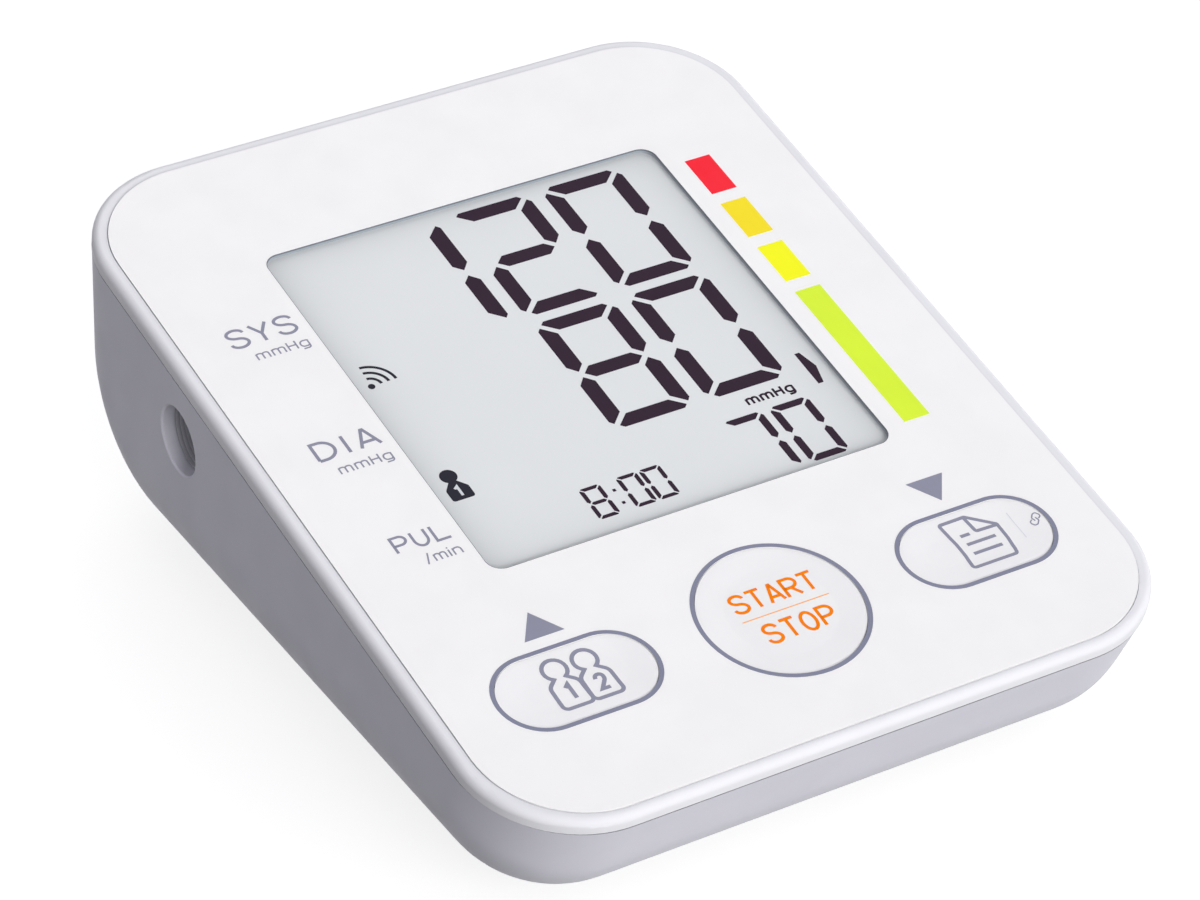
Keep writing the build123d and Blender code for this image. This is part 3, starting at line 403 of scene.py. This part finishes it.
def beside(line, distance, closed):
    """The line moved sideways by distance, with mitred corners."""
    moved = []
    count = len(line)
    for i, point in enumerate(line):
        normals = []
        if closed or i > 0:
            step = (point - line[i - 1]).normalized()
            normals.append(Vector((-step.y, step.x)))
        if closed or i < count - 1:
            step = (line[(i + 1) % count] - point).normalized()
            normals.append(Vector((-step.y, step.x)))
        middle = sum(normals, Vector((0, 0))).normalized()
        moved.append(point + middle * distance / max(middle.dot(normals[0]), MITRE_LIMIT))
    return moved


def fine(line, closed):
    """The line with extra points, so that it can follow a curved surface."""
    made = []
    ends = line[1:] + line[:1] if closed else line[1:]
    for a, b in zip(line, ends):
        parts = max(1, round((b - a).length / FINE_STEP))
        made += [a.lerp(b, k / parts) for k in range(parts)]
    return made if closed else made + [line[-1]]


SINK, LIFT = 0.03, 0.015        # prints are closed slabs that reach this far in and out
LAYER, LAYERS = 0.004, 3        # strokes that cross lie this much over each other
FINE_STEP = 0.6                 # distance of the points on a curved host
FLAT = ("lcd_film", "face_panel")       # hosts that aren't curved
ABOVE = 3.0                     # from this height a host's surface is looked for


def lay(name, body, host, shapes, finish, lift=LIFT):
    """Makes one piece of thin closed slabs that lie on the host node and ride on the body.

    A shape is (points, None) for a filled outline, (points, width) for an open stroke, and
    (points, width, True) for a closed one.
    """
    mesh = bmesh.new()
    surface = frame["nodes"][host].data
    tree = BVHTree.FromPolygons([v.co for v in surface.vertices],
                                [p.vertices for p in surface.polygons])

    def pair(point, top):
        """The slab's lower and upper corner over a point of the face."""
        hit = tree.ray_cast(at(point.x, point.y, ABOVE), -OUT)[0]
        level = (hit - FACE).dot(OUT) / MM
        return [mesh.verts.new(at(point.x, point.y, level + dz)) for dz in (-SINK, top)]

    for number, (points, width, *rest) in enumerate(shapes):
        top = lift + number % LAYERS * LAYER
        closed = width is None or bool(rest)
        line = without_repeats(rounded(points), closed)
        if host not in FLAT:
            line = fine(line, closed)
        count = len(line)
        if width is None:
            ring = [pair(p, top) for p in line]
            mesh.faces.new([upper for _, upper in ring])
            mesh.faces.new([lower for lower, _ in reversed(ring)])
            for i in range(count):
                (low_a, top_a), (low_b, top_b) = ring[i], ring[(i + 1) % count]
                mesh.faces.new((low_a, low_b, top_b, top_a))
            continue
        left = [pair(p, top) for p in beside(line, width / 2, closed)]
        right = [pair(p, top) for p in beside(line, -width / 2, closed)]
        for i in range(count if closed else count - 1):
            j = (i + 1) % count
            (la, lta), (lb, ltb), (ra, rta), (rb, rtb) = left[i], left[j], right[i], right[j]
            for quad in ((lta, rta, rtb, ltb), (la, lb, rb, ra), (la, lta, ltb, lb),
                         (ra, rb, rtb, rta)):
                mesh.faces.new(quad)
        if not closed:
            for (low_l, top_l), (low_r, top_r) in ((left[0], right[0]), (right[-1], left[-1])):
                mesh.faces.new((low_l, low_r, top_r, top_l))
    bmesh.ops.recalc_face_normals(mesh, faces=mesh.faces)
    data = bpy.data.meshes.new(name)
    mesh.to_mesh(data)
    mesh.free()
    data.materials.append(finish.material)
    piece = bpy.data.objects.new(name, data)
    bpy.context.scene.collection.objects.link(piece)
    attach(piece, body)


# ---------------------------------------------------------------- lettering
# Strokes of each sign: x and y run from 0 to 1 over its box, and a third value rounds a corner,
# as a share of the height.
SIGNS = {
    "S": [[(.97, .78), (.97, 1, .5), (.02, 1, .5), (.02, .55, .4), (1, .48, .4), (1, 0, .5),
           (0, 0, .5), (0, .24)]],
    "Y": [[(0, 1), (.5, .44), (1, 1)], [(.5, .44), (.5, 0)]],
    "D": [[(0, .02), (0, 1), (1, 1, .5), (1, 0, .5), (0, 0)]],
    "I": [[(.5, 0), (.5, 1)]],
    "A": [[(0, 0), (.46, 1), (.54, 1), (1, 0)], [(.17, .29), (.83, .29)]],
    "P": [[(0, 0), (0, 1), (1, 1, .27), (1, .45, .27), (0, .45)]],
    "U": [[(0, 1), (0, 0, .38), (1, 0, .38), (1, 1)]],
    "L": [[(0, 1), (0, 0), (1, 0)]],
    "T": [[(0, 1), (1, 1)], [(.5, 1), (.5, 0)]],
    "R": [[(0, 0), (0, 1), (1, 1, .27), (1, .47, .27), (0, .47)], [(.5, .47), (1, 0)]],
    "O": [[(.5, 0), (0, 0, .5), (0, 1, .5), (1, 1, .5), (1, 0, .5), (.5, 0)]],
    "H": [[(0, 0), (0, 1)], [(1, 0), (1, 1)], [(0, .52), (1, .52)]],
    "m": [[(0, 0), (0, .74)], [(0, .5), (0, .72, .18), (.5, .72, .18), (.5, 0)],
          [(.5, .5), (.5, .72, .18), (1, .72, .18), (1, 0)]],
    "n": [[(0, 0), (0, .74)], [(0, .5), (0, .72, .25), (1, .72, .25), (1, 0)]],
    "i": [[(.5, 0), (.5, .74)], [(.5, .9), (.5, 1.02)]],
    "g": [[(1, .74), (1, -.24, .2), (.08, -.24)],
          [(1, .6), (1, .72, .2), (0, .72, .28), (0, .02, .28), (1, .02, .2), (1, .2)]],
    "/": [[(0, -.08), (1, 1.08)]],
    "1": [[(0, .8), (.7, 1), (.7, 0)]],
    "2": [[(0, .74), (0, 1, .34), (1, 1, .34), (1, .6, .3), (0, 0), (1, 0)]],
}
WIDE = {"m": 1.4, "/": 0.7}     # width of a sign against the others
THIN = "Ii"                     # these are one stroke wide


def word(text, right, base, height, width, gap, stroke):
    """Strokes of a word that ends at right and stands on base; width is one letter's."""
    shapes = []
    edge = right
    for letter in reversed(text):
        size = stroke if letter in THIN else width * WIDE.get(letter, 1.0)
        left = edge - size + stroke / 2
        span = size - stroke
        rise = height - stroke
        for line in SIGNS[letter]:
            points = [(left + p[0] * span, base + stroke / 2 + p[1] * rise,
                       *[r * height for r in p[2:]]) for p in line]
            shapes.append((points, stroke))
        edge -= size + gap
    return shapes


def block(left, right, lower, upper):
    """Corners of a rectangle."""
    return [(left, lower), (right, lower), (right, upper), (left, upper)]


# ---------------------------------------------------------------- display
INK = printed("display_ink", "2D1B2C", 0.55, spread=0.03, specular=0.15)
INK_BLUE = printed("display_sign_ink", "22222E", 0.55, spread=0.03, specular=0.15)
LIT = printed("display_sign_ground", "D2D6DA", 0.4)

LIT_SEGMENTS = {"0": "abcdef", "1": "bc", "2": "abged", "7": "abc", "8": "abcdefg"}


def digit(figure, left, top, width, height, stroke):
    """Lit bars of one seven-bar figure, with bevelled ends and gaps between them."""
    mid = height / 2
    inner = width - stroke
    tip, shoulder = stroke * .22, stroke * .68      # cut corner at the outer end of a bar
    level_cut, upright_cut = stroke * .45, stroke * .43
    gap = stroke * .24
    thin = stroke * .94                             # the level bars are a little thinner
    outer_end, inner_end = mid - stroke * .8, mid - stroke * .75
    level = [(level_cut, tip), (shoulder, 0), (width - shoulder, 0),
             (width - level_cut, tip), (inner - gap, thin), (stroke + gap, thin)]
    upright = [(width - tip, upright_cut), (width, shoulder), (width, outer_end),
               (width - stroke / 2, mid - gap), (inner, inner_end), (inner, thin + gap)]
    waist = [(stroke / 2 + gap, mid), (stroke + gap, mid - thin / 2), (inner - gap, mid - thin / 2),
             (inner + stroke / 2 - gap, mid), (inner - gap, mid + thin / 2),
             (stroke + gap, mid + thin / 2)]
    flip_x = [(width - x, y) for x, y in upright]
    bars = {
        "a": level, "d": [(x, height - y) for x, y in level], "g": waist,
        "b": upright, "c": [(x, height - y) for x, y in upright],
        "f": flip_x, "e": [(x, height - y) for x, y in flip_x],
    }
    return [([(left + x, top - y) for x, y in bars[key]], None)
            for key in LIT_SEGMENTS[figure]]


BIG_W, BIG_H, BIG_STROKE = 12.3, 21.85, 2.35
BIG_ONES, BIG_TENS, BIG_HUNDREDS = 11.8, -2.6, -16.85
SYS_TOP, DIA_TOP = 40.1, 16.65
PULSE_W, PULSE_H, PULSE_STROKE, PULSE_TOP = 6.05, 11.0, 1.15, -9.7
CLOCK_W, CLOCK_H, CLOCK_STROKE, CLOCK_TOP = 3.12, 5.8, 0.6, -12.95
COLON_X, COLON_TOPS, COLON = (-8.55, -8.1), (-14.58, -17.0), 0.45

# figures and their left ends, and for the large ones their tops
LARGE = [
    ("1", BIG_HUNDREDS, SYS_TOP), ("2", BIG_TENS, SYS_TOP), ("0", BIG_ONES, SYS_TOP),
    ("8", BIG_TENS, DIA_TOP), ("0", BIG_ONES, DIA_TOP),
]
PULSE = [("7", 10.95), ("0", 18.1)]
CLOCK = [("8", -12.7), ("0", -7.2), ("0", -3.75)]

readings = [s for f, x, y in LARGE for s in digit(f, x, y, BIG_W, BIG_H, BIG_STROKE)]
readings += [s for f, x in PULSE for s in digit(f, x, PULSE_TOP, PULSE_W, PULSE_H, PULSE_STROKE)]
lay("reading_digits", "housing", "lcd_film", readings, INK)

clock = [s for f, x in CLOCK for s in digit(f, x, CLOCK_TOP, CLOCK_W, CLOCK_H, CLOCK_STROKE)]
clock += [(block(*COLON_X, y - COLON, y), None) for y in COLON_TOPS]
lay("clock_digits", "housing", "lcd_film", clock, INK)

POINTER = [(26.95, -2.15), (27.7, -2.15), (28.5, -5.2), (27.75, -8.3), (26.95, -8.3)]
lay("range_pointer", "housing", "lcd_film", [(POINTER, None)], INK)
unit = word("mmHg", right=23.5, base=-8.35, height=1.85, width=1.38, gap=.26, stroke=.34)
lay("display_unit", "housing", "lcd_film", unit, INK)

# one user's figure, its number left light
USER_X, USER_HEAD_Y, USER_HEAD_R = -26.75, -4.05, 1.2
USER_NECK_Y, USER_SHOULDER_Y, USER_FOOT_Y = -5.0, -6.4, -8.45
user_sign = [
    (arc(USER_X, USER_HEAD_Y, USER_HEAD_R, start=0, end=345, steps=23), None),
    ([(USER_X - .5, USER_NECK_Y), (USER_X - 1.6, USER_SHOULDER_Y, .6),
      (USER_X - 1.6, USER_FOOT_Y, .4), (USER_X + 1.65, USER_FOOT_Y, .4),
      (USER_X + 1.65, USER_SHOULDER_Y, .6), (USER_X + .5, USER_NECK_Y)], None),
]
lay("display_user_sign", "housing", "lcd_film", user_sign, INK_BLUE)
number = word("1", right=-26.25, base=-8.0, height=2.1, width=1.05, gap=0, stroke=.38)
lay("display_user_number", "housing", "lcd_film", number, LIT, lift=2 * LIFT)

# plain radio waves
WAVE_X, WAVE_Y, WAVE_STROKE, SOURCE_R = -27.9, 14.6, .42, .5
WAVE_RADII = (1.5, 2.6, 3.7)
waves = [(arc(WAVE_X, WAVE_Y, SOURCE_R, start=0, end=330, steps=11), None)]
waves += [(arc(WAVE_X, WAVE_Y, radius, start=2, end=88), WAVE_STROKE) for radius in WAVE_RADII]
lay("display_radio_sign", "housing", "lcd_film", waves, INK_BLUE)

# edge of the window: a thin grey lining whose colour is painted shade
EDGE_T, EDGE_BELOW, WINDOW_R = 0.08, 0.02, 2.2     # its top lies a little below the panel's
LEFT, RIGHT_EDGE, LOWER, UPPER = WINDOW
half_edge = EDGE_T / 2
corners = block(LEFT + half_edge, RIGHT_EDGE - half_edge, LOWER + half_edge, UPPER - half_edge)
lay("window_edge", "housing", "lcd_film", [([(x, y, WINDOW_R) for x, y in corners], EDGE_T, True)],
    window_wall_painted_shade(), lift=PANEL_T - EDGE_BELOW)

# ---------------------------------------------------------------- prints on the panel
GREY_PRINT = printed("print_grey", "898A9D", 0.45, spread=0.02)
LABEL_RIGHT = -31.75
LABELS = [  # text, its base, height, a letter's width, gap between letters, stroke
    ("SYS", 27.1, 3.75, 2.9, .58, .44), ("DIA", 4.1, 3.6, 3.25, 1.18, .46),
    ("PUL", -14.35, 3.0, 2.28, .53, .38), ("mmHg", 24.15, 1.75, 1.385, .35, .22),
    ("mmHg", 1.1, 1.75, 1.385, .35, .22), ("/min", -17.35, 1.8, 1.27, .35, .22),
]
labels = [stroke for text, *row in LABELS for stroke in word(text, LABEL_RIGHT, *row)]
lay("panel_labels", "housing", "face_panel", labels, GREY_PRINT)

ARROW_X, ARROW_TOP, ARROW_H, ARROW_W = 29.65, -29.68, 4.35, 2.85
arrow_up = [(-ARROW_X, ARROW_TOP), (ARROW_W - ARROW_X, ARROW_TOP - ARROW_H),
            (-ARROW_X - ARROW_W, ARROW_TOP - ARROW_H)]
arrow_down = [(ARROW_X - ARROW_W, ARROW_TOP), (ARROW_X + ARROW_W, ARROW_TOP),
              (ARROW_X, ARROW_TOP - ARROW_H)]
lay("panel_arrows", "housing", "face_panel", [(arrow_up, None), (arrow_down, None)], GREY_PRINT)

BAR_LEFT, BAR_RIGHT = 33.15, 37.15
BARS = {  # name: colour, lower and upper end
    "red": ("FF2034", 29.5, 36.95), "amber": ("FFE622", 19.85, 27.3),
    "yellow": ("FFFF14", 10.1, 17.6), "green": ("DFFA3A", -19.65, 7.85),
}
for color_name, (code, lower, upper) in BARS.items():
    paint = printed(f"print_{color_name}", code, 0.5, spread=0.015, specular=0.2)
    lay(f"scale_bar_{color_name}", "housing", "face_panel",
        [(block(BAR_LEFT, BAR_RIGHT, lower, upper), None)], paint)

# ---------------------------------------------------------------- prints on the buttons
ORANGE = printed("print_orange", "FF8400", 0.55, spread=0.015, specular=0.05)
ORANGE_LIGHT = printed("print_orange_light", "FFB45E", 0.42, spread=0.015)
start_words = (
    word("START", right=7.07, base=-40.83, height=3.4, width=2.36, gap=.2, stroke=.44)
    + word("STOP", right=6.22, base=-46.88, height=3.5, width=2.34, gap=.35, stroke=.46)
)
RULE, RULE_W = [(-5.6, -42.06), (7.25, -42.06)], .16
lay("start_print", "start_key", "start_button", start_words, ORANGE)
lay("start_print_rule", "start_key", "start_button", [(RULE, RULE_W)], ORANGE_LIGHT)

ICON, PAGE_LINE = .55, .5
PERSON_HEAD_Y, PERSON_HEAD_R, PERSON_SHOULDER_Y = -39.4, 1.62, -41.9
PERSON_FOOT_Y, PERSON_HALF, PERSON_TAPER = -45.85, 2.15, .1


def person(x):
    """Outline of a standing figure with its middle at x."""
    head = arc(x, PERSON_HEAD_Y, PERSON_HEAD_R, start=239, end=-59, steps=20)
    body = [(x + PERSON_HALF - PERSON_TAPER, PERSON_SHOULDER_Y, 1.3),
            (x + PERSON_HALF, PERSON_FOOT_Y, .7), (x - PERSON_HALF, PERSON_FOOT_Y, .7),
            (x - PERSON_HALF + PERSON_TAPER, PERSON_SHOULDER_Y, 1.3)]
    return head + body, ICON, True


people = [person(-31.3), person(-27.0)]
people += word("1", right=-30.5, base=-44.8, height=3.0, width=1.3, gap=0, stroke=ICON)
people += word("2", right=-25.97, base=-44.82, height=2.95, width=1.68, gap=0, stroke=ICON)
lay("user_print", "user_key", "user_button", people, GREY_PRINT)

PAGE = [(26.75, -37.7, .3), (30.7, -37.65, .2), (34.1, -40.3, .2), (34.05, -43), (33.8, -45),
        (33.6, -45.9, .4), (26.85, -45.9, .4), (27.1, -43.6), (27.12, -41.5), (26.95, -39.6)]
PAGE_FOLD = [(30.55, -37.8), (30.85, -40.35, .3), (33.9, -40.45)]
PAGE_ROWS = [(28.4, 29.8, -40.42), (28.4, 32.8, -42.0), (28.35, 32.75, -43.7)]
document = [(PAGE, PAGE_LINE, True), (PAGE_FOLD, PAGE_LINE)]
document += [([(left, y), (right, y)], PAGE_LINE) for left, right, y in PAGE_ROWS]
lay("memory_print", "memory_key", "memory_button", document, GREY_PRINT)

# two chain links, each open where the other one passes
LINK_X, LINK_Y, LINK_STROKE = 39.18, -41.72, .18
LINK = [(-.15, -.26), (-.34, .35, .2), (.13, .9, .25), (.57, .97, .25), (.89, .52, .2),
        (.88, .18, .2), (.48, -.08)]
chain = [([(LINK_X + side * x, LINK_Y + side * y, *r) for x, y, *r in LINK], LINK_STROKE)
         for side in (1, -1)]
lay("memory_link_print", "memory_key", "memory_button", chain, GREY_PRINT)
FAINT = printed("print_faint", "DADAE2", 0.42)
DIVIDER, DIVIDER_W = [(36.33, -39.2), (36.33, -43.95)], .12
lay("memory_divider_print", "memory_key", "memory_button", [(DIVIDER, DIVIDER_W)], FAINT)

# ---------------------------------------------------------------- floor, light and camera
# half its side in metres, its tone as seen and as it lights the object, and its own light as seen
FLOOR_HALF, FLOOR_TONE, FLOOR_BOUNCE, FLOOR_GLOW = 4.0, 0.37, 0.05, 0.8

floor_mesh = bpy.data.meshes.new("floor")
floor_mesh.from_pydata([(-FLOOR_HALF, -FLOOR_HALF, 0), (FLOOR_HALF, -FLOOR_HALF, 0),
                        (FLOOR_HALF, FLOOR_HALF, 0), (-FLOOR_HALF, FLOOR_HALF, 0)],
                       [], [(0, 1, 2, 3)])
floor = bpy.data.objects.new("floor", floor_mesh)
bpy.context.scene.collection.objects.link(floor)


def seen_directly(tree):
    """1 for rays from the camera and for what metal and glass show, else 0."""
    path = tree.nodes.new("ShaderNodeLightPath")
    value = path.outputs["Is Camera Ray"]
    for other in ("Is Glossy Ray", "Is Transmission Ray"):
        larger = tree.nodes.new("ShaderNodeMath")
        larger.operation = "MAXIMUM"
        tree.links.new(value, larger.inputs[0])
        tree.links.new(path.outputs[other], larger.inputs[1])
        value = larger.outputs[0]
    return value


paper = Finish("floor_paper", roughness=0.9, specular=0.0)
seen = seen_directly(paper.tree)
paper.set("Base Color", paper.mix(seen, (FLOOR_BOUNCE,) * 3, (FLOOR_TONE,) * 3))
paper.set("Emission Color", (1.0, 1.0, 1.0))
paper.set("Emission Strength", paper.math("MULTIPLY", seen, FLOOR_GLOW))
floor_mesh.materials.append(paper.material)

AMBIENT, BACKDROP = 0.4, 1.0            # light from all round, and the background as seen
AMBIENT_TINT = (1.0, 0.995, 1.08)
world = bpy.data.worlds.new("studio")
world.use_nodes = True
bpy.context.scene.world = world
sky = world.node_tree.nodes["Background"]
level = world.node_tree.nodes.new("ShaderNodeMix")
level.data_type = "RGBA"
level.inputs[MIX_FIRST].default_value = (*scaled(AMBIENT_TINT, AMBIENT), 1.0)
level.inputs[MIX_SECOND].default_value = (BACKDROP, BACKDROP, BACKDROP, 1.0)
world.node_tree.links.new(seen_directly(world.node_tree), level.inputs[MIX_FACTOR])
world.node_tree.links.new(level.outputs[MIX_RESULT], sky.inputs["Color"])

LAMP_ANGLE = 60.0                       # apparent size, which makes soft shadows
LAMPS = {  # where each one shines from, as long as it is strong
    "key": Vector((0.18, -1.36, 0.16)), "fill": Vector((0.22, 0.22, 0.16)),
}
for lamp_name, source in LAMPS.items():
    lamp = bpy.data.lights.new(lamp_name, "SUN")
    lamp.energy = source.length * pi
    lamp.angle = radians(LAMP_ANGLE)
    stand = bpy.data.objects.new(lamp_name, lamp)
    stand.rotation_mode = "QUATERNION"
    stand.rotation_quaternion = source.to_track_quat("Z", "Y")
    stand.visible_glossy = False
    bpy.context.scene.collection.objects.link(stand)

EYE = Vector((-0.262497, -0.431666, 0.363176))
AIM = Vector((-0.006660, -0.009067, 0.032063))
LENS, SENSOR, ROLL, NEAR = 138.383, 36.0, 0.735, 0.01
camera_data = bpy.data.cameras.new("camera")
camera_data.lens = LENS
camera_data.sensor_width = SENSOR
camera_data.clip_start = NEAR
camera = bpy.data.objects.new("camera", camera_data)
camera.rotation_mode = "QUATERNION"
camera.location = EYE
camera.rotation_quaternion = ((AIM - EYE).to_track_quat("-Z", "Y")
                              @ Quaternion((0, 0, 1), radians(ROLL)))
bpy.context.scene.collection.objects.link(camera)
bpy.context.scene.camera = camera
bpy.context.scene.view_settings.view_transform = "Standard"
